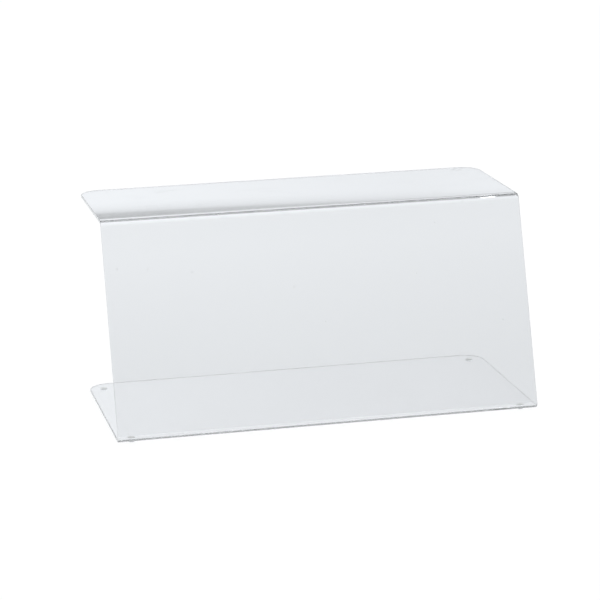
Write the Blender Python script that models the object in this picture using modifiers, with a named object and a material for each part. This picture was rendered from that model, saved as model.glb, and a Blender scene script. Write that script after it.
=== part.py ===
"""Clear acrylic counter display: one sheet, bent twice, standing on four stick-on bumper feet.

Units are metres. +Z is up, +X runs along the width, and the leaning front panel faces -Y.
The origin lies on the resting surface, under the middle of the display's overall box.
"""
import math

import bmesh
import bpy

# Bent sheet: depths and the height run to the sharp corners that the outer faces would meet in
SHEET_WIDTH = 0.600
SHEET_THICKNESS = 0.004
BASE_DEPTH = 0.300
PANEL_HEIGHT = 0.293
PANEL_LEAN = math.radians(17.5)
TOP_DEPTH = 0.220
LOWER_BEND_INNER_RADIUS = 0.004
UPPER_BEND_INNER_RADIUS = 0.005
CORNER_RADIUS = 0.030
EDGE_BREAK = 0.0003

# Bumper feet: moulded domes, each stuck on with its own adhesive disc
FOOT_DIAMETER = 0.010
FOOT_HEIGHT = 0.0022
FOOT_SIDE_HEIGHT = 0.0006
FOOT_CONTACT_DIAMETER = 0.004
FOOT_CORNER_MARGIN = 0.0122
FOOT_BEND_MARGIN = 0.0042
ADHESIVE_THICKNESS = 0.0004
ADHESIVE_MARGIN = 0.0003
SEAT_GAP = 0.0003

# Fineness of the round stretches
BEND_SEGMENTS = 14
CORNER_SEGMENTS = 12
DOME_SEGMENTS = 7
TURN_STEPS = 32

# The sheet turns through these angles, from the base up the panel and from the panel to the top
LOWER_TURN = math.pi / 2 + PANEL_LEAN
UPPER_TURN = math.pi / 2 - PANEL_LEAN

# Outer radii, and how far each bend reaches from its sharp corner along the flats
LOWER_BEND_RADIUS = LOWER_BEND_INNER_RADIUS + SHEET_THICKNESS
UPPER_BEND_RADIUS = UPPER_BEND_INNER_RADIUS + SHEET_THICKNESS
LOWER_BEND_REACH = LOWER_BEND_RADIUS * math.tan(LOWER_TURN / 2)
UPPER_BEND_REACH = UPPER_BEND_RADIUS * math.tan(UPPER_TURN / 2)

# Depths of the foremost point of the lower bend and of the hindmost edge, from the lower corner
TOP_SETBACK = PANEL_HEIGHT * math.tan(PANEL_LEAN)
FRONT_DEPTH = LOWER_BEND_REACH - LOWER_BEND_RADIUS
BACK_DEPTH = max(BASE_DEPTH, TOP_SETBACK + TOP_DEPTH)
MIDDLE_DEPTH = (FRONT_DEPTH + BACK_DEPTH) / 2

# Height of the base's underside above the resting surface
FOOT_STACK = FOOT_HEIGHT + SEAT_GAP + ADHESIVE_THICKNESS + SEAT_GAP

# A back foot stands on the diagonal of its rounded corner, and a front foot in line with it
FOOT_RADIUS = FOOT_DIAMETER / 2
FOOT_INSET = CORNER_RADIUS - (CORNER_RADIUS - FOOT_CORNER_MARGIN - FOOT_RADIUS) / math.sqrt(2)
FOOT_X = SHEET_WIDTH / 2 - FOOT_INSET
FOOT_BACK_Y = BASE_DEPTH - FOOT_INSET - MIDDLE_DEPTH
FOOT_FRONT_Y = LOWER_BEND_REACH + FOOT_BEND_MARGIN + FOOT_RADIUS - MIDDLE_DEPTH


def clear_scene():
    """Remove whatever the open file already holds."""
    for old in list(bpy.data.objects):
        bpy.data.objects.remove(old, do_unlink=True)


def make_material(name, colour, roughness, transmission, ior):
    """Return a clear or milky plastic as a Principled material."""
    material = bpy.data.materials.new(name)
    material.use_nodes = True
    shader = material.node_tree.nodes["Principled BSDF"]
    shader.inputs["Base Color"].default_value = (*colour, 1.0)
    shader.inputs["Roughness"].default_value = roughness
    shader.inputs["Metallic"].default_value = 0.0
    shader.inputs["Transmission Weight"].default_value = transmission
    shader.inputs["IOR"].default_value = ior
    return material


def place(part, location):
    """Give a new object its place in the display and move it to the display's collection."""
    part.location = location
    part.parent = display_origin
    for holder in list(part.users_collection):
        holder.objects.unlink(part)
    display.objects.link(part)


def arc(centre_y, centre_z, radius, start, turn, segments):
    """Return points of an arc that runs clockwise, seen with +Y to the right and +Z up."""
    points = []
    for step in range(segments + 1):
        angle = start - turn * step / segments
        points.append((centre_y + radius * math.cos(angle), centre_z + radius * math.sin(angle)))
    return points


def outer_profile():
    """Return the outer side of the bent sheet: under the base, up the panel, back over the top."""
    lower_bend = arc(LOWER_BEND_REACH, LOWER_BEND_RADIUS, LOWER_BEND_RADIUS,
                     -math.pi / 2, LOWER_TURN, BEND_SEGMENTS)
    upper_bend = arc(TOP_SETBACK + UPPER_BEND_REACH, PANEL_HEIGHT - UPPER_BEND_RADIUS, UPPER_BEND_RADIUS,
                     math.pi - PANEL_LEAN, UPPER_TURN, BEND_SEGMENTS)
    base_edge = (BASE_DEPTH, 0.0)
    top_edge = (TOP_SETBACK + TOP_DEPTH, PANEL_HEIGHT)
    return [base_edge, *lower_bend, *upper_bend, top_edge]


def make_sheet(material):
    """Bend the sheet: its outer surface across the width, four rounded corners, then the thickness."""
    shape = bmesh.new()
    left = []
    for depth, height in outer_profile():
        left.append(shape.verts.new((-SHEET_WIDTH / 2, depth, height)))
    edges = [shape.edges.new(pair) for pair in zip(left, left[1:])]
    swept = bmesh.ops.extrude_edge_only(shape, edges=edges)["geom"]
    right = [item for item in swept if isinstance(item, bmesh.types.BMVert)]
    bmesh.ops.translate(shape, verts=right, vec=(SHEET_WIDTH, 0.0, 0.0))
    corners = [vert for vert in shape.verts if len(vert.link_faces) == 1]
    bmesh.ops.bevel(shape, geom=corners, offset=CORNER_RADIUS, segments=CORNER_SEGMENTS,
                    profile=0.5, affect="VERTICES")
    bmesh.ops.recalc_face_normals(shape, faces=shape.faces)
    mesh = bpy.data.meshes.new("formed_sheet")
    shape.to_mesh(mesh)
    shape.free()
    mesh.materials.append(material)
    mesh.shade_smooth()
    sheet = bpy.data.objects.new("formed_sheet", mesh)
    thickness = sheet.modifiers.new("sheet_thickness", "SOLIDIFY")
    thickness.thickness = SHEET_THICKNESS
    thickness.offset = -1.0
    thickness.use_even_offset = True
    edge_break = sheet.modifiers.new("broken_cut_edges", "BEVEL")
    edge_break.width = EDGE_BREAK
    edge_break.segments = 1
    edge_break.limit_method = "ANGLE"
    edge_break.angle_limit = math.radians(60)
    place(sheet, (0.0, -MIDDLE_DEPTH, FOOT_STACK))


def foot_profile():
    """Return the outline of a bumper, from the middle of its flat top to that of its contact face."""
    contact_radius = FOOT_CONTACT_DIAMETER / 2
    dome_height = FOOT_HEIGHT - FOOT_SIDE_HEIGHT
    points = [(0.0, FOOT_HEIGHT), (FOOT_RADIUS, FOOT_HEIGHT)]
    for step in range(DOME_SEGMENTS + 1):
        angle = math.pi / 2 * step / DOME_SEGMENTS
        across = contact_radius + (FOOT_RADIUS - contact_radius) * math.cos(angle)
        points.append((across, dome_height * (1 - math.sin(angle))))
    points.append((0.0, 0.0))
    return points


def make_foot_mesh(material):
    """Return the profile of one bumper, ready to be turned about its own axis."""
    shape = bmesh.new()
    line = [shape.verts.new((across, 0.0, height)) for across, height in foot_profile()]
    for pair in zip(line, line[1:]):
        shape.edges.new(pair)
    mesh = bpy.data.meshes.new("bumper_foot")
    shape.to_mesh(mesh)
    shape.free()
    mesh.materials.append(material)
    return mesh


def make_foot(side, mesh, location):
    """Turn one bumper foot from the shared profile."""
    foot = bpy.data.objects.new("bumper_foot_" + side, mesh)
    turning = foot.modifiers.new("turned_dome", "SCREW")
    turning.steps = TURN_STEPS
    turning.render_steps = TURN_STEPS
    turning.use_merge_vertices = True
    turning.merge_threshold = 0.00001
    turning.use_smooth_shade = True
    place(foot, location)


def make_adhesive(side, material, location):
    """Cut one adhesive disc, a little smaller than the flat top of its foot."""
    bpy.ops.mesh.primitive_cylinder_add(vertices=TURN_STEPS, radius=FOOT_RADIUS - ADHESIVE_MARGIN,
                                        depth=ADHESIVE_THICKNESS)
    disc = bpy.context.object
    disc.name = "adhesive_disc_" + side
    disc.data.materials.append(material)
    place(disc, location)


clear_scene()
display = bpy.data.collections.new("acrylic_counter_display")
bpy.context.scene.collection.children.link(display)
display_origin = bpy.data.objects.new("display_origin", None)
display.objects.link(display_origin)

make_sheet(make_material("clear_acrylic", (0.92, 0.94, 0.95), 0.03, 0.95, 1.49))

foot_mesh = make_foot_mesh(make_material("clear_polyurethane", (0.80, 0.83, 0.85), 0.15, 0.70, 1.50))
adhesive = make_material("clear_adhesive", (0.86, 0.87, 0.84), 0.40, 0.50, 1.47)
adhesive_height = FOOT_HEIGHT + SEAT_GAP + ADHESIVE_THICKNESS / 2
for across, side in ((-FOOT_X, "left"), (FOOT_X, "right")):
    for along, end in ((FOOT_FRONT_Y, "front"), (FOOT_BACK_Y, "back")):
        make_foot(end + "_" + side, foot_mesh, (across, along, 0.0))
        make_adhesive(end + "_" + side, adhesive, (across, along, adhesive_height))
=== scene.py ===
import math

import bmesh
import bpy
from mathutils import Matrix, Vector


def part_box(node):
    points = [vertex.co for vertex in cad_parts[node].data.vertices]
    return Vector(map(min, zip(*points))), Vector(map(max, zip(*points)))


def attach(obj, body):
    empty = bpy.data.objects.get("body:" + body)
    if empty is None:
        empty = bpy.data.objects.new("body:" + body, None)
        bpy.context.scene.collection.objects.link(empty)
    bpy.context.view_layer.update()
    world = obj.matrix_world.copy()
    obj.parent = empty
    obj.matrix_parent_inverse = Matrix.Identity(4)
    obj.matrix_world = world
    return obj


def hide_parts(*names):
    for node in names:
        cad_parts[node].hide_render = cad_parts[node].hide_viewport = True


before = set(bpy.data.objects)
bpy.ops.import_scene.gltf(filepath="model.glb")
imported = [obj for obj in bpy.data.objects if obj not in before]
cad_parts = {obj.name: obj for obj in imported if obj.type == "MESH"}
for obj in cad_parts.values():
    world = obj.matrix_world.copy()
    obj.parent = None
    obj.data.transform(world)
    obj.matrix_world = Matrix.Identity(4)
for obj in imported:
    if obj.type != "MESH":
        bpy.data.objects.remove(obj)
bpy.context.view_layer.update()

# Formed sheet: one piece of clear cast acrylic, 4 mm thick, sawn to a rectangle with four rounded corners.
# Its edges were buffed, and it was heated along two lines and folded over a jig into a base, a panel that
# leans back and a level top. It stands on the feet and nothing else is fixed to it.
SHEET_THICKNESS = 0.004
PANEL_LEAN = math.radians(17.5)
BASE_DEPTH = 0.300
LOWER_BEND_RADIUS = 0.008
UPPER_BEND_RADIUS = 0.009
SOFT_LENGTH = 0.010
SOFT_TURN = math.radians(3.0)
CORNER_RADIUS = 0.030
EDGE_BREAK = 0.0009
SQUARE_EDGE_ANGLE = math.radians(60)
BEND_SEGMENTS = 48
SOFT_SEGMENTS = 12
CORNER_SEGMENTS = 28
EDGE_BREAK_SEGMENTS = 3

sheet_low, sheet_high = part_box("formed_sheet")
lower_turn = math.pi / 2 + PANEL_LEAN
upper_turn = math.pi / 2 - PANEL_LEAN
lower_reach = LOWER_BEND_RADIUS * math.tan(lower_turn / 2)
lower_corner_y = sheet_low.y - (lower_reach - LOWER_BEND_RADIUS)
upper_corner_y = lower_corner_y + (sheet_high.z - sheet_low.z) * math.tan(PANEL_LEAN)


def bend_points(corner_y, corner_z, heading, turn, radius):
    """Points of a fold's outer side, running clockwise with +Y to the right and +Z up past a sharp corner.

    The heat spreads past the fold line, so the sheet starts and ends its turn softly.
    """
    soft_steps = [(SOFT_LENGTH / SOFT_SEGMENTS, SOFT_TURN * (2 * step + 1) / SOFT_SEGMENTS ** 2)
                  for step in range(SOFT_SEGMENTS)]
    arc_turn = (turn - 2 * SOFT_TURN) / BEND_SEGMENTS
    arc_steps = [(radius * arc_turn, arc_turn)] * BEND_SEGMENTS
    points = [Vector((0.0, 0.0))]
    for length, step_turn in [*soft_steps, *arc_steps, *reversed(soft_steps)]:
        heading -= step_turn / 2
        points.append(points[-1] + length * Vector((math.cos(heading), math.sin(heading))))
        heading -= step_turn / 2
    reach = points[-1].length / 2 / math.cos(turn / 2)
    first_heading = heading + turn
    start = Vector((corner_y, corner_z)) - reach * Vector((math.cos(first_heading), math.sin(first_heading)))
    return [start + point for point in points]


lower_bend = bend_points(lower_corner_y, sheet_low.z, math.pi, lower_turn, LOWER_BEND_RADIUS)
upper_bend = bend_points(upper_corner_y, sheet_high.z, upper_turn, upper_turn, UPPER_BEND_RADIUS)
base_back = (lower_corner_y + BASE_DEPTH, sheet_low.z)
top_back = (sheet_high.y, sheet_high.z)

shape = bmesh.new()
left_side = []
for depth, height in [base_back, *lower_bend, *upper_bend, top_back]:
    left_side.append(shape.verts.new((sheet_low.x, depth, height)))
fold_line = [shape.edges.new(pair) for pair in zip(left_side, left_side[1:])]
swept = bmesh.ops.extrude_edge_only(shape, edges=fold_line)["geom"]
right_side = [item for item in swept if isinstance(item, bmesh.types.BMVert)]
bmesh.ops.translate(shape, verts=right_side, vec=(sheet_high.x - sheet_low.x, 0.0, 0.0))
corners = [vert for vert in shape.verts if len(vert.link_faces) == 1]
bmesh.ops.bevel(shape, geom=corners, offset=CORNER_RADIUS, segments=CORNER_SEGMENTS,
                profile=0.5, affect="VERTICES")
bmesh.ops.recalc_face_normals(shape, faces=shape.faces)
sheet_mesh = bpy.data.meshes.new("bent_sheet")
shape.to_mesh(sheet_mesh)
shape.free()
sheet_mesh.shade_smooth()

sheet = bpy.data.objects.new("bent_sheet", sheet_mesh)
bpy.context.scene.collection.objects.link(sheet)
thickness = sheet.modifiers.new("sheet_thickness", "SOLIDIFY")
thickness.thickness = SHEET_THICKNESS
thickness.offset = -1.0
thickness.use_even_offset = True
thickness.material_offset_rim = 1
edge_break = sheet.modifiers.new("broken_cut_edges", "BEVEL")
edge_break.width = EDGE_BREAK
edge_break.segments = EDGE_BREAK_SEGMENTS
edge_break.limit_method = "ANGLE"
edge_break.angle_limit = SQUARE_EDGE_ANGLE
edge_break.use_clamp_overlap = False
flat_normals = sheet.modifiers.new("true_flats", "WEIGHTED_NORMAL")
flat_normals.weight = 100
flat_normals.keep_sharp = True


def linear(hex_colour, alpha=1.0):
    """An sRGB hex colour as the linear values that a shader takes."""
    channels = []
    for start in (1, 3, 5):
        value = int(hex_colour[start:start + 2], 16) / 255
        channels.append(value / 12.92 if value <= 0.04045 else ((value + 0.055) / 1.055) ** 2.4)
    return (*channels, alpha)


def add_node(tree, kind, settings=None, links=None):
    """Add a node. Settings name its properties, its input sockets or a ramp's stops, links its sources."""
    node = tree.nodes.new(kind)
    for name, value in (settings or {}).items():
        if name == "stops":
            elements = node.color_ramp.elements
            while len(elements) < len(value):
                elements.new(0.5)
            for element, (position, brightness) in zip(elements, value):
                element.position = position
                element.color = (brightness, brightness, brightness, 1.0)
        elif isinstance(name, str) and hasattr(node, name):
            setattr(node, name, value)
        else:
            node.inputs[name].default_value = value
    for name, source in (links or {}).items():
        tree.links.new(source, node.inputs[name])
    return node


def new_material(name):
    """An empty node material with its output node."""
    material = bpy.data.materials.new(name)
    material.use_nodes = True
    material.node_tree.nodes.clear()
    return material, add_node(material.node_tree, "ShaderNodeOutputMaterial")


# Clear cast acrylic, polished face: sharp mirroring and a grey cast that shows only along the sheet. Between
# a few specks of dust, dried drop marks 5 mm across and faint wiping hairlines the polish is perfect. The
# hairlines are drawn 0.3 mm wide, coarser than real ones, which no picture of the whole display resolves.
ACRYLIC_IOR = 1.49
ACRYLIC_TINT = "#98979B"
ACRYLIC_DENSITY = 1.1
CLEAN_COLOUR = "#FFFFFF"
DUST_COLOUR = "#B9B8B4"
DUST_SPACING = 0.028
DUST_RADIUS = 0.0006
DUST_CORE = 0.6
DROP_SPACING = 0.045
DROP_RADIUS = 0.0027
DROP_CORE = 0.3
DROP_COVER = 0.07
HAIRLINE_SPACING = 0.030
HAIRLINE_WIDTH = 0.0003
HAIRLINE_STRETCH = 0.08
HAIRLINE_TURN = math.radians(24)
HAIRLINE_ROUGHNESS = 0.15
WIPED_PATCH = 0.080
WIPED_FROM = 0.55
WIPED_TO = 0.65

face_acrylic, output = new_material("clear_cast_acrylic_polished_face")
tree = face_acrylic.node_tree
surface = add_node(tree, "ShaderNodeTexCoord")
dust_cells = add_node(tree, "ShaderNodeTexVoronoi", {"Scale": 1 / DUST_SPACING},
                      {"Vector": surface.outputs["Object"]})
dust = add_node(tree, "ShaderNodeMapRange",
                {"From Min": DUST_CORE * DUST_RADIUS / DUST_SPACING, "From Max": DUST_RADIUS / DUST_SPACING,
                 "To Min": 1.0, "To Max": 0.0},
                {0: dust_cells.outputs["Distance"]})
drop_cells = add_node(tree, "ShaderNodeTexVoronoi", {"Scale": 1 / DROP_SPACING},
                      {"Vector": surface.outputs["Object"]})
drops = add_node(tree, "ShaderNodeMapRange",
                 {"From Min": DROP_CORE * DROP_RADIUS / DROP_SPACING, "From Max": DROP_RADIUS / DROP_SPACING,
                  "To Min": DROP_COVER, "To Max": 0.0},
                 {0: drop_cells.outputs["Distance"]})
soiled = add_node(tree, "ShaderNodeMath", {"operation": "MAXIMUM"}, {0: dust.outputs[0], 1: drops.outputs[0]})
wiping = add_node(tree, "ShaderNodeMapping",
                  {"Rotation": (0.0, 0.0, HAIRLINE_TURN), "Scale": (HAIRLINE_STRETCH, 1.0, 1.0)},
                  {"Vector": surface.outputs["Object"]})
hair_cells = add_node(tree, "ShaderNodeTexVoronoi",
                      {"feature": "DISTANCE_TO_EDGE", "Scale": 1 / HAIRLINE_SPACING},
                      {"Vector": wiping.outputs["Vector"]})
hairlines = add_node(tree, "ShaderNodeMapRange",
                     {"From Max": HAIRLINE_WIDTH / HAIRLINE_SPACING,
                      "To Min": HAIRLINE_ROUGHNESS, "To Max": 0.0},
                     {0: hair_cells.outputs["Distance"]})
patches = add_node(tree, "ShaderNodeTexNoise", {"Scale": 1 / WIPED_PATCH, "Detail": 1.0},
                   {"Vector": surface.outputs["Object"]})
wiped = add_node(tree, "ShaderNodeMapRange", {"From Min": WIPED_FROM, "From Max": WIPED_TO},
                 {0: patches.outputs["Fac"]})
faint = add_node(tree, "ShaderNodeMath", {"operation": "MULTIPLY"},
                 {0: hairlines.outputs[0], 1: wiped.outputs[0]})
roughness = add_node(tree, "ShaderNodeMath", {"operation": "MAXIMUM"},
                     {0: faint.outputs[0], 1: soiled.outputs[0]})
clear = add_node(tree, "ShaderNodeMath", {"operation": "SUBTRACT", 0: 1.0}, {1: soiled.outputs[0]})
colour = add_node(tree, "ShaderNodeMix",
                  {"data_type": "RGBA", 6: linear(CLEAN_COLOUR), 7: linear(DUST_COLOUR)},
                  {0: soiled.outputs[0]})
shader = add_node(tree, "ShaderNodeBsdfPrincipled", {"IOR": ACRYLIC_IOR},
                  {"Base Color": colour.outputs[2], "Roughness": roughness.outputs[0],
                   "Transmission Weight": clear.outputs[0]})
absorption = add_node(tree, "ShaderNodeVolumeAbsorption",
                      {"Color": linear(ACRYLIC_TINT), "Density": ACRYLIC_DENSITY})
tree.links.new(shader.outputs["BSDF"], output.inputs["Surface"])
tree.links.new(absorption.outputs["Volume"], output.inputs["Volume"])

# The same acrylic on its cut edges: buffing leaves a whitish, satin scatter that stops much of the light led
# along the sheet, over slanted saw marks. The marks are drawn 0.8 mm apart, about four times as coarse as the
# teeth's.
EDGE_WHITE = "#FDFEFE"
EDGE_CLEARNESS = 0.4
EDGE_SMOOTHEST = 0.18
EDGE_ROUGHEST = 0.34
SAW_MARK_SPACING = 0.0008
SAW_MARK_DEPTH = 0.000012
NOISE_LOW = 0.3
NOISE_HIGH = 0.7

edge_acrylic, output = new_material("clear_cast_acrylic_buffed_cut_edge")
tree = edge_acrylic.node_tree
surface = add_node(tree, "ShaderNodeTexCoord")
axes = add_node(tree, "ShaderNodeSeparateXYZ", {}, {0: surface.outputs["Object"]})
slant = add_node(tree, "ShaderNodeMath", {"operation": "ADD"}, {0: axes.outputs["Y"], 1: axes.outputs["Z"]})
along_edge = add_node(tree, "ShaderNodeCombineXYZ", {}, {"X": axes.outputs["X"], "Y": slant.outputs[0]})
saw_marks = add_node(tree, "ShaderNodeTexNoise",
                     {"noise_dimensions": "2D", "Scale": 1 / SAW_MARK_SPACING, "Detail": 2.0},
                     {"Vector": along_edge.outputs[0]})
roughness = add_node(tree, "ShaderNodeMapRange",
                     {"From Min": NOISE_LOW, "From Max": NOISE_HIGH,
                      "To Min": EDGE_SMOOTHEST, "To Max": EDGE_ROUGHEST},
                     {0: saw_marks.outputs["Fac"]})
relief = add_node(tree, "ShaderNodeBump", {"Strength": 1.0, "Distance": SAW_MARK_DEPTH},
                  {"Height": saw_marks.outputs["Fac"]})
shader = add_node(tree, "ShaderNodeBsdfPrincipled",
                  {"Base Color": linear(EDGE_WHITE), "IOR": ACRYLIC_IOR,
                   "Transmission Weight": EDGE_CLEARNESS},
                  {"Roughness": roughness.outputs[0], "Normal": relief.outputs[0]})
absorption = add_node(tree, "ShaderNodeVolumeAbsorption",
                      {"Color": linear(ACRYLIC_TINT), "Density": ACRYLIC_DENSITY})
tree.links.new(shader.outputs["BSDF"], output.inputs["Surface"])
tree.links.new(absorption.outputs["Volume"], output.inputs["Volume"])

sheet_mesh.materials.append(face_acrylic)
sheet_mesh.materials.append(edge_acrylic)
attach(sheet, "root")
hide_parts("formed_sheet")

# Bumper feet: four clear moulded polyurethane domes, stuck under the base near its corners. Each is flat on
# top, where it is bonded, with a short straight side and a dome that flattens a little on the counter.
FOOT_SIDE_HEIGHT = 0.0006
FOOT_CONTACT_RADIUS = 0.002
FOOT_EDGE_ROUND = 0.00025
SHOULDER_STEPS = 6
DOME_STEPS = 20
TURN_STEPS = 64
TURNED_EDGE_ANGLE = math.radians(35)
WELD_DISTANCE = 1e-6

# Clear polyurethane: soft, milky and glossy, with the faint orange-peel skin of a poured dome and a few air
# bubbles near its skin. The skin's ripples are drawn 0.6 mm apart, a little coarser than real ones.
POLYURETHANE_IOR = 1.5
POLYURETHANE_CLEARNESS = 0.6
POLYURETHANE_COLOUR = "#F2F4F5"
BUBBLE_COLOUR = "#FAFBFB"
SKIN_RIPPLE = 0.0006
SKIN_DEPTH = 0.000006
SKIN_SMOOTHEST = 0.10
SKIN_ROUGHEST = 0.22
BUBBLE_SPACING = 0.0016
BUBBLE_RADIUS = 0.00018
BUBBLE_CORE = 0.7

polyurethane, output = new_material("clear_polyurethane_moulded")
tree = polyurethane.node_tree
surface = add_node(tree, "ShaderNodeTexCoord")
skin = add_node(tree, "ShaderNodeTexNoise", {"Scale": 1 / SKIN_RIPPLE, "Detail": 2.0},
                {"Vector": surface.outputs["Object"]})
bubble_cells = add_node(tree, "ShaderNodeTexVoronoi", {"Scale": 1 / BUBBLE_SPACING},
                        {"Vector": surface.outputs["Object"]})
bubbles = add_node(tree, "ShaderNodeMapRange",
                   {"From Min": BUBBLE_CORE * BUBBLE_RADIUS / BUBBLE_SPACING,
                    "From Max": BUBBLE_RADIUS / BUBBLE_SPACING, "To Min": 1.0, "To Max": 0.0},
                   {0: bubble_cells.outputs["Distance"]})
colour = add_node(tree, "ShaderNodeMix",
                  {"data_type": "RGBA", 6: linear(POLYURETHANE_COLOUR), 7: linear(BUBBLE_COLOUR)},
                  {0: bubbles.outputs[0]})
roughness = add_node(tree, "ShaderNodeMapRange",
                     {"From Min": NOISE_LOW, "From Max": NOISE_HIGH,
                      "To Min": SKIN_SMOOTHEST, "To Max": SKIN_ROUGHEST},
                     {0: skin.outputs["Fac"]})
relief = add_node(tree, "ShaderNodeBump", {"Strength": 1.0, "Distance": SKIN_DEPTH},
                  {"Height": skin.outputs["Fac"]})
shader = add_node(tree, "ShaderNodeBsdfPrincipled",
                  {"IOR": POLYURETHANE_IOR, "Transmission Weight": POLYURETHANE_CLEARNESS},
                  {"Base Color": colour.outputs[2], "Roughness": roughness.outputs[0],
                   "Normal": relief.outputs[0]})
tree.links.new(shader.outputs["BSDF"], output.inputs["Surface"])


def turned_mesh(name, profile, material):
    """A closed shape turned about Z from its outline, which runs from the axis on top to the axis below."""
    turning = bmesh.new()
    line = [turning.verts.new((radius, 0.0, height)) for radius, height in profile]
    edges = [turning.edges.new(pair) for pair in zip(line, line[1:])]
    bmesh.ops.spin(turning, geom=[*line, *edges], cent=(0.0, 0.0, 0.0), axis=(0.0, 0.0, 1.0),
                   angle=math.tau, steps=TURN_STEPS, use_merge=True)
    bmesh.ops.remove_doubles(turning, verts=turning.verts, dist=WELD_DISTANCE)
    bmesh.ops.recalc_face_normals(turning, faces=turning.faces)
    mesh = bpy.data.meshes.new(name)
    turning.to_mesh(mesh)
    turning.free()
    mesh.shade_smooth()
    mesh.set_sharp_from_angle(angle=TURNED_EDGE_ANGLE)
    mesh.materials.append(material)
    return mesh


def rounded_shoulder(radius, height, edge_round):
    """The rounded outer corner of a flat top, from the top face down to the side."""
    points = []
    for step in range(SHOULDER_STEPS + 1):
        angle = math.pi / 2 * (1 - step / SHOULDER_STEPS)
        across = radius - edge_round * (1 - math.cos(angle))
        points.append((across, height - edge_round * (1 - math.sin(angle))))
    return points


PLACES = ("front_left", "front_right", "back_left", "back_right")
for place in PLACES:
    node = "bumper_foot_" + place
    low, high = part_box(node)
    radius = (high.x - low.x) / 2
    height = high.z - low.z
    outline = [(0.0, height), *rounded_shoulder(radius, height, FOOT_EDGE_ROUND)]
    dome_height = height - FOOT_SIDE_HEIGHT
    for step in range(DOME_STEPS + 1):
        angle = math.pi / 2 * step / DOME_STEPS
        across = FOOT_CONTACT_RADIUS + (radius - FOOT_CONTACT_RADIUS) * math.cos(angle)
        outline.append((across, dome_height * (1 - math.sin(angle))))
    outline.append((0.0, 0.0))
    foot = bpy.data.objects.new("bumper_" + place, turned_mesh("bumper_" + place, outline, polyurethane))
    foot.location = ((low.x + high.x) / 2, (low.y + high.y) / 2, low.z)
    bpy.context.scene.collection.objects.link(foot)
    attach(foot, "root")
    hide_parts(node)

# Adhesive discs: the clear pressure-sensitive film that bonds each foot to the base, die-cut a little smaller
# than the foot.
DISC_EDGE_ROUND = 0.0001

# Clear acrylic adhesive: a tacky film that looks mottled through the base, clear where it has wetted out and
# hazy in islands 1 to 2 mm across where it hasn't.
ADHESIVE_IOR = 1.47
WET_OUT_ISLAND = 0.0015
TACK_DEPTH = 0.00001
HAZE_FROM = 0.42
HAZE_TO = 0.62
WETTED_COLOUR = "#D4D7D3"
WETTED_ROUGHNESS = 0.28
WETTED_CLEARNESS = 0.65
HAZY_COLOUR = "#E4E5E1"
HAZY_ROUGHNESS = 0.50
HAZY_CLEARNESS = 0.40

adhesive, output = new_material("clear_acrylic_adhesive_film")
tree = adhesive.node_tree
surface = add_node(tree, "ShaderNodeTexCoord")
mottle = add_node(tree, "ShaderNodeTexNoise", {"Scale": 1 / WET_OUT_ISLAND, "Detail": 3.0},
                  {"Vector": surface.outputs["Object"]})
haze = add_node(tree, "ShaderNodeMapRange", {"From Min": HAZE_FROM, "From Max": HAZE_TO},
                {0: mottle.outputs["Fac"]})
colour = add_node(tree, "ShaderNodeMix",
                  {"data_type": "RGBA", 6: linear(WETTED_COLOUR), 7: linear(HAZY_COLOUR)},
                  {0: haze.outputs[0]})
roughness = add_node(tree, "ShaderNodeMapRange", {"To Min": WETTED_ROUGHNESS, "To Max": HAZY_ROUGHNESS},
                     {0: haze.outputs[0]})
clear = add_node(tree, "ShaderNodeMapRange", {"To Min": WETTED_CLEARNESS, "To Max": HAZY_CLEARNESS},
                 {0: haze.outputs[0]})
relief = add_node(tree, "ShaderNodeBump", {"Strength": 1.0, "Distance": TACK_DEPTH},
                  {"Height": mottle.outputs["Fac"]})
shader = add_node(tree, "ShaderNodeBsdfPrincipled", {"IOR": ADHESIVE_IOR},
                  {"Base Color": colour.outputs[2], "Roughness": roughness.outputs[0],
                   "Transmission Weight": clear.outputs[0], "Normal": relief.outputs[0]})
tree.links.new(shader.outputs["BSDF"], output.inputs["Surface"])

for place in PLACES:
    node = "adhesive_disc_" + place
    low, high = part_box(node)
    radius = (high.x - low.x) / 2
    height = high.z - low.z
    upper = rounded_shoulder(radius, height, DISC_EDGE_ROUND)
    lower = [(across, height - level) for across, level in reversed(upper)]
    outline = [(0.0, height), *upper, *lower, (0.0, 0.0)]
    disc = bpy.data.objects.new("bond_" + place, turned_mesh("bond_" + place, outline, adhesive))
    disc.location = ((low.x + high.x) / 2, (low.y + high.y) / 2, low.z)
    bpy.context.scene.collection.objects.link(disc)
    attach(disc, "root")
    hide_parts(node)

# Floor: a wide sweep of matt pale paper. The camera sees it as white, and it shows in the acrylic in its own
# pale colour, with painted shade that makes it a little dimmer near the display and to the right. Under both
# it keeps a share of its real shading, so the display's shadow stays on it.
FLOOR_RADIUS = 40.0
FLOOR_SEGMENTS = 96
FLOOR_DROP = 0.0002
FLOOR_PALE = "#EFF2F5"
FLOOR_WHITE = "#FFFFFF"
FLOOR_WHITE_STRENGTH = 1.05
FLOOR_EVEN_SHARE = 0.8
# Painted shade on the floor as the acrylic shows it: dimmer near the display and towards the right.
FLOOR_NEAR = 0.15
FLOOR_FAR = 1.00
FLOOR_PAINTED_NEAR_LEVEL = 0.925
FLOOR_PAINTED_FAR_LEVEL = 1.02
FLOOR_LEFT = -0.10
FLOOR_RIGHT = 0.60
FLOOR_PAINTED_RIGHT_LEVEL = 0.97

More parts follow.
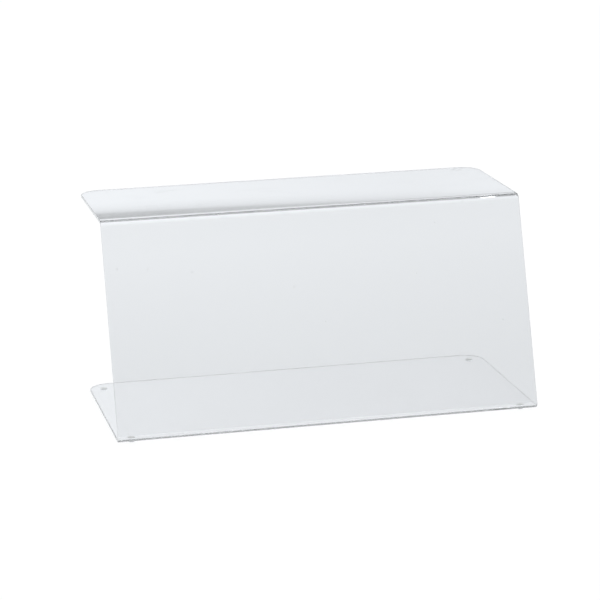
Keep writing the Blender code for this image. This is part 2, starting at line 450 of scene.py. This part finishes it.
paper, output = new_material("matt_pale_paper")
tree = paper.node_tree
seen = add_node(tree, "ShaderNodeLightPath")
in_acrylic = add_node(tree, "ShaderNodeMath", {"operation": "MAXIMUM"},
                      {0: seen.outputs["Is Glossy Ray"], 1: seen.outputs["Is Transmission Ray"]})
in_view = add_node(tree, "ShaderNodeMath", {"operation": "MAXIMUM"},
                   {0: in_acrylic.outputs[0], 1: seen.outputs["Is Camera Ray"]})
even_share = add_node(tree, "ShaderNodeMath", {"operation": "MULTIPLY", 1: FLOOR_EVEN_SHARE},
                      {0: in_view.outputs[0]})
spot = add_node(tree, "ShaderNodeNewGeometry")
place_on_floor = add_node(tree, "ShaderNodeSeparateXYZ", {}, {0: spot.outputs["Position"]})
# Painted shade: the pale floor seen in the acrylic is dimmed by its place on the floor, near the display and
# towards the right.
painted_shade_by_depth = add_node(tree, "ShaderNodeMapRange",
                       {"From Min": FLOOR_NEAR, "From Max": FLOOR_FAR,
                        "To Min": FLOOR_PAINTED_NEAR_LEVEL, "To Max": FLOOR_PAINTED_FAR_LEVEL},
                       {0: place_on_floor.outputs["Y"]})
painted_shade_to_right = add_node(tree, "ShaderNodeMapRange",
                      {"interpolation_type": "SMOOTHSTEP", "From Min": FLOOR_LEFT, "From Max": FLOOR_RIGHT,
                       "To Min": 1.0, "To Max": FLOOR_PAINTED_RIGHT_LEVEL},
                      {0: place_on_floor.outputs["X"]})
painted_floor_shade = add_node(tree, "ShaderNodeMath", {"operation": "MULTIPLY"},
                   {0: painted_shade_by_depth.outputs[0], 1: painted_shade_to_right.outputs[0]})
matt = add_node(tree, "ShaderNodeBsdfDiffuse", {"Color": linear(FLOOR_PALE)})
pale = add_node(tree, "ShaderNodeEmission", {"Color": linear(FLOOR_PALE)}, {"Strength": painted_floor_shade.outputs[0]})
white = add_node(tree, "ShaderNodeEmission", {"Color": linear(FLOOR_WHITE), "Strength": FLOOR_WHITE_STRENGTH})
even = add_node(tree, "ShaderNodeMixShader", {},
                {0: seen.outputs["Is Camera Ray"], 1: pale.outputs[0], 2: white.outputs[0]})
mixed = add_node(tree, "ShaderNodeMixShader", {},
                 {0: even_share.outputs[0], 1: matt.outputs[0], 2: even.outputs[0]})
tree.links.new(mixed.outputs[0], output.inputs["Surface"])

sweep = bmesh.new()
bmesh.ops.create_circle(sweep, cap_ends=True, segments=FLOOR_SEGMENTS, radius=FLOOR_RADIUS)
floor_mesh = bpy.data.meshes.new("paper_floor")
sweep.to_mesh(floor_mesh)
sweep.free()
floor_mesh.materials.append(paper)
floor = bpy.data.objects.new("paper_floor", floor_mesh)
floor.location.z = -FLOOR_DROP
bpy.context.scene.collection.objects.link(floor)

# Light: an even white tent. What the acrylic mirrors of it is drawn by direction, as parts of a unit vector.
# Behind is a cool white wall, dimmer to the right, with a dark slit at the camera's height that is taller to
# the right, then a dim stretch, soft light overhead and a slim lamp that glints in the upper bend. In front,
# the stretch around the camera is dark, under a bright light.
PLAIN_WHITE = "#FFFFFF"
TENT_WHITE = "#F6F9FD"
SLIT_TILT = 0.0185
SLIT_FROM = 0.2019
SLIT_TO = 0.2079
SLIT_STEPS = ((0.00, 1.00), (0.18, 0.985), (0.40, 0.90), (0.55, 0.80), (0.68, 0.63), (0.80, 0.30),
              (1.00, 0.14))
SLIT_END = 0.2120
WALL_AGAIN = 0.232
TALL_FROM = 0.20
TALL_TO = 0.25
TALL_RISE = 0.026
WALL_LEFT = 0.12
WALL_RIGHT = 0.30
LOW_WALL_STEPS = ((0.00, 0.98), (0.15, 0.965), (0.50, 0.905), (0.75, 0.87), (1.00, 0.925))
HIGH_WALL_STEPS = ((0.00, 0.98), (0.15, 0.97), (0.50, 0.89), (0.75, 0.87), (1.00, 0.81))
HIGH_WALL_FROM = 0.235
HIGH_WALL_TO = 0.255
DIM_FROM = 0.45
DIM_TO = 0.62
DIM_LEVEL = 0.6
OVERHEAD_FROM = 0.78
OVERHEAD_TO = 0.88
OVERHEAD_LEVEL = 1.2
SKY_LEFT_LEVEL = 1.25
SKY_RIGHT_LEVEL = 0.85
LAMP_ACROSS = 0.2812
LAMP_HEIGHT = 0.66
LAMP_HALF_WIDTH = 0.0036
LAMP_HALF_HEIGHT = 0.17
LAMP_SOFT_FROM = 0.4
LAMP_LEVEL = 9.0
FRONT_LOW = 0.40
FRONT_HIGH = 0.70
FRONT_LOW_LEVEL = 0.05
FRONT_HIGH_LEVEL = 1.05
FRONT_BESIDE_FROM = 0.40
FRONT_BESIDE_TO = 0.62
FRONT_BESIDE_LEVEL = 0.92
FRONT_END = -0.3
BEHIND_START = 0.1

world = bpy.data.worlds.new("white_light_tent")
world.use_nodes = True
bpy.context.scene.world = world
tree = world.node_tree
tree.nodes.clear()
output = add_node(tree, "ShaderNodeOutputWorld")
towards = add_node(tree, "ShaderNodeTexCoord")
axes = add_node(tree, "ShaderNodeSeparateXYZ", {}, {0: towards.outputs["Generated"]})
level = add_node(tree, "ShaderNodeMath", {"operation": "MULTIPLY_ADD", 1: SLIT_TILT},
                 {0: axes.outputs["X"], 2: axes.outputs["Z"]})
slit_place = add_node(tree, "ShaderNodeMapRange", {"From Min": SLIT_FROM, "From Max": SLIT_TO},
                      {0: level.outputs[0]})
slit = add_node(tree, "ShaderNodeValToRGB", {"stops": SLIT_STEPS}, {0: slit_place.outputs[0]})
rise = add_node(tree, "ShaderNodeMapRange",
                {"interpolation_type": "SMOOTHSTEP", "From Min": TALL_FROM, "From Max": TALL_TO,
                 "To Max": TALL_RISE},
                {0: axes.outputs["X"]})
over_slit = add_node(tree, "ShaderNodeMath", {"operation": "SUBTRACT"},
                     {0: level.outputs[0], 1: rise.outputs[0]})
wall_again = add_node(tree, "ShaderNodeMapRange",
                      {"interpolation_type": "SMOOTHSTEP", "From Min": SLIT_END, "From Max": WALL_AGAIN},
                      {0: over_slit.outputs[0]})
wall = add_node(tree, "ShaderNodeMath", {"operation": "MAXIMUM"},
                {0: slit.outputs[0], 1: wall_again.outputs[0]})
across = add_node(tree, "ShaderNodeMapRange", {"From Min": WALL_LEFT, "From Max": WALL_RIGHT},
                  {0: axes.outputs["X"]})
low_side = add_node(tree, "ShaderNodeValToRGB", {"stops": LOW_WALL_STEPS}, {0: across.outputs[0]})
high_side = add_node(tree, "ShaderNodeValToRGB", {"stops": HIGH_WALL_STEPS}, {0: across.outputs[0]})
high_share = add_node(tree, "ShaderNodeMapRange",
                      {"interpolation_type": "SMOOTHSTEP", "From Min": HIGH_WALL_FROM,
                       "From Max": HIGH_WALL_TO},
                      {0: axes.outputs["Z"]})
side = add_node(tree, "ShaderNodeMix", {"data_type": "FLOAT"},
                {0: high_share.outputs[0], 2: low_side.outputs[0], 3: high_side.outputs[0]})
lit_wall = add_node(tree, "ShaderNodeMath", {"operation": "MULTIPLY"},
                    {0: wall.outputs[0], 1: side.outputs[0]})
dim_share = add_node(tree, "ShaderNodeMapRange",
                     {"interpolation_type": "SMOOTHSTEP", "From Min": DIM_FROM, "From Max": DIM_TO},
                     {0: axes.outputs["Z"]})
overhead = add_node(tree, "ShaderNodeMapRange",
                    {"interpolation_type": "SMOOTHSTEP", "From Min": OVERHEAD_FROM, "From Max": OVERHEAD_TO,
                     "To Min": DIM_LEVEL, "To Max": OVERHEAD_LEVEL},
                    {0: axes.outputs["Z"]})
sky_side = add_node(tree, "ShaderNodeMapRange", {"To Min": SKY_LEFT_LEVEL, "To Max": SKY_RIGHT_LEVEL},
                    {0: across.outputs[0]})
sky = add_node(tree, "ShaderNodeMath", {"operation": "MULTIPLY"},
               {0: overhead.outputs[0], 1: sky_side.outputs[0]})
lamp_axes = add_node(tree, "ShaderNodeCombineXYZ", {}, {"X": axes.outputs["X"], "Z": axes.outputs["Z"]})
from_lamp = add_node(tree, "ShaderNodeMapping",
                     {"vector_type": "TEXTURE", "Location": (LAMP_ACROSS, 0.0, LAMP_HEIGHT),
                      "Scale": (LAMP_HALF_WIDTH, 1.0, LAMP_HALF_HEIGHT)},
                     {"Vector": lamp_axes.outputs[0]})
off_lamp = add_node(tree, "ShaderNodeVectorMath", {"operation": "LENGTH"}, {0: from_lamp.outputs[0]})
lamp = add_node(tree, "ShaderNodeMapRange",
                {"interpolation_type": "SMOOTHSTEP", "From Min": LAMP_SOFT_FROM, "From Max": 1.0,
                 "To Min": LAMP_LEVEL, "To Max": 0.0},
                {0: off_lamp.outputs["Value"]})
lamp_sky = add_node(tree, "ShaderNodeMath", {"operation": "ADD"}, {0: sky.outputs[0], 1: lamp.outputs[0]})
behind = add_node(tree, "ShaderNodeMix", {"data_type": "FLOAT"},
                  {0: dim_share.outputs[0], 2: lit_wall.outputs[0], 3: lamp_sky.outputs[0]})
front = add_node(tree, "ShaderNodeMapRange",
                 {"interpolation_type": "SMOOTHSTEP", "From Min": FRONT_LOW, "From Max": FRONT_HIGH,
                  "To Min": FRONT_LOW_LEVEL, "To Max": FRONT_HIGH_LEVEL},
                 {0: axes.outputs["Z"]})
front_side = add_node(tree, "ShaderNodeMath", {"operation": "MULTIPLY"},
                      {0: front.outputs[0], 1: sky_side.outputs[0]})
sideways = add_node(tree, "ShaderNodeMath", {"operation": "ABSOLUTE"}, {0: axes.outputs["X"]})
beside = add_node(tree, "ShaderNodeMapRange",
                  {"interpolation_type": "SMOOTHSTEP", "From Min": FRONT_BESIDE_FROM,
                   "From Max": FRONT_BESIDE_TO},
                  {0: sideways.outputs[0]})
whole_front = add_node(tree, "ShaderNodeMix", {"data_type": "FLOAT", 3: FRONT_BESIDE_LEVEL},
                       {0: beside.outputs[0], 2: front_side.outputs[0]})
half = add_node(tree, "ShaderNodeMapRange",
                {"interpolation_type": "SMOOTHSTEP", "From Min": FRONT_END, "From Max": BEHIND_START},
                {0: axes.outputs["Y"]})
tent = add_node(tree, "ShaderNodeMix", {"data_type": "FLOAT"},
                {0: half.outputs[0], 2: whole_front.outputs[0], 3: behind.outputs[0]})
seen = add_node(tree, "ShaderNodeLightPath")
mirrored = add_node(tree, "ShaderNodeMath", {"operation": "MAXIMUM"},
                    {0: seen.outputs["Is Glossy Ray"], 1: seen.outputs["Is Transmission Ray"]})
straight = add_node(tree, "ShaderNodeMath", {"operation": "LESS_THAN", 1: 0.5},
                    {0: seen.outputs["Diffuse Depth"]})
in_acrylic = add_node(tree, "ShaderNodeMath", {"operation": "MULTIPLY"},
                      {0: mirrored.outputs[0], 1: straight.outputs[0]})
plain_light = add_node(tree, "ShaderNodeBackground", {"Color": linear(PLAIN_WHITE), "Strength": 1.0})
drawn_light = add_node(tree, "ShaderNodeBackground", {"Color": linear(TENT_WHITE)},
                       {"Strength": tent.outputs[0]})
light = add_node(tree, "ShaderNodeMixShader", {},
                 {0: in_acrylic.outputs[0], 1: plain_light.outputs[0], 2: drawn_light.outputs[0]})
tree.links.new(light.outputs[0], output.inputs["Surface"])

# Light is led along inside the sheet through a hundred inner reflections before it leaves at a far cut edge,
# and each reflection is sharp, so none of them is blurred or cut off.
INNER_REFLECTIONS = 128

paths = bpy.context.scene.cycles
paths.max_bounces = INNER_REFLECTIONS
paths.glossy_bounces = INNER_REFLECTIONS
paths.transmission_bounces = INNER_REFLECTIONS
paths.blur_glossy = 0.0

# Camera: a long lens on a 36 mm sensor, 3.65 m away, higher than the display and to the left of its middle.
# It looks down at it, very slightly rolled.
CAMERA_YAW = math.radians(12.365)
CAMERA_PITCH = math.radians(13.844)
CAMERA_ROLL = math.radians(-1.230)
CAMERA_DISTANCE = 3.6515
CAMERA_AIM = Vector((-0.00727, 0.0, 0.14788))
CAMERA_LENS = 152.6
CAMERA_SENSOR = 36.0

forward = Vector((math.sin(CAMERA_YAW) * math.cos(CAMERA_PITCH),
                  math.cos(CAMERA_YAW) * math.cos(CAMERA_PITCH), -math.sin(CAMERA_PITCH)))
level_right = Vector((math.cos(CAMERA_YAW), -math.sin(CAMERA_YAW), 0.0))
level_up = level_right.cross(forward)
right = level_right * math.cos(CAMERA_ROLL) + level_up * math.sin(CAMERA_ROLL)
up = right.cross(forward)
camera_data = bpy.data.cameras.new("studio_camera")
camera_data.lens = CAMERA_LENS
camera_data.sensor_width = CAMERA_SENSOR
camera = bpy.data.objects.new("studio_camera", camera_data)
turned = Matrix((right, up, -forward)).transposed().to_4x4()
camera.matrix_world = Matrix.Translation(CAMERA_AIM - forward * CAMERA_DISTANCE) @ turned
bpy.context.scene.collection.objects.link(camera)
bpy.context.scene.camera = camera
bpy.context.scene.view_settings.view_transform = "Standard"
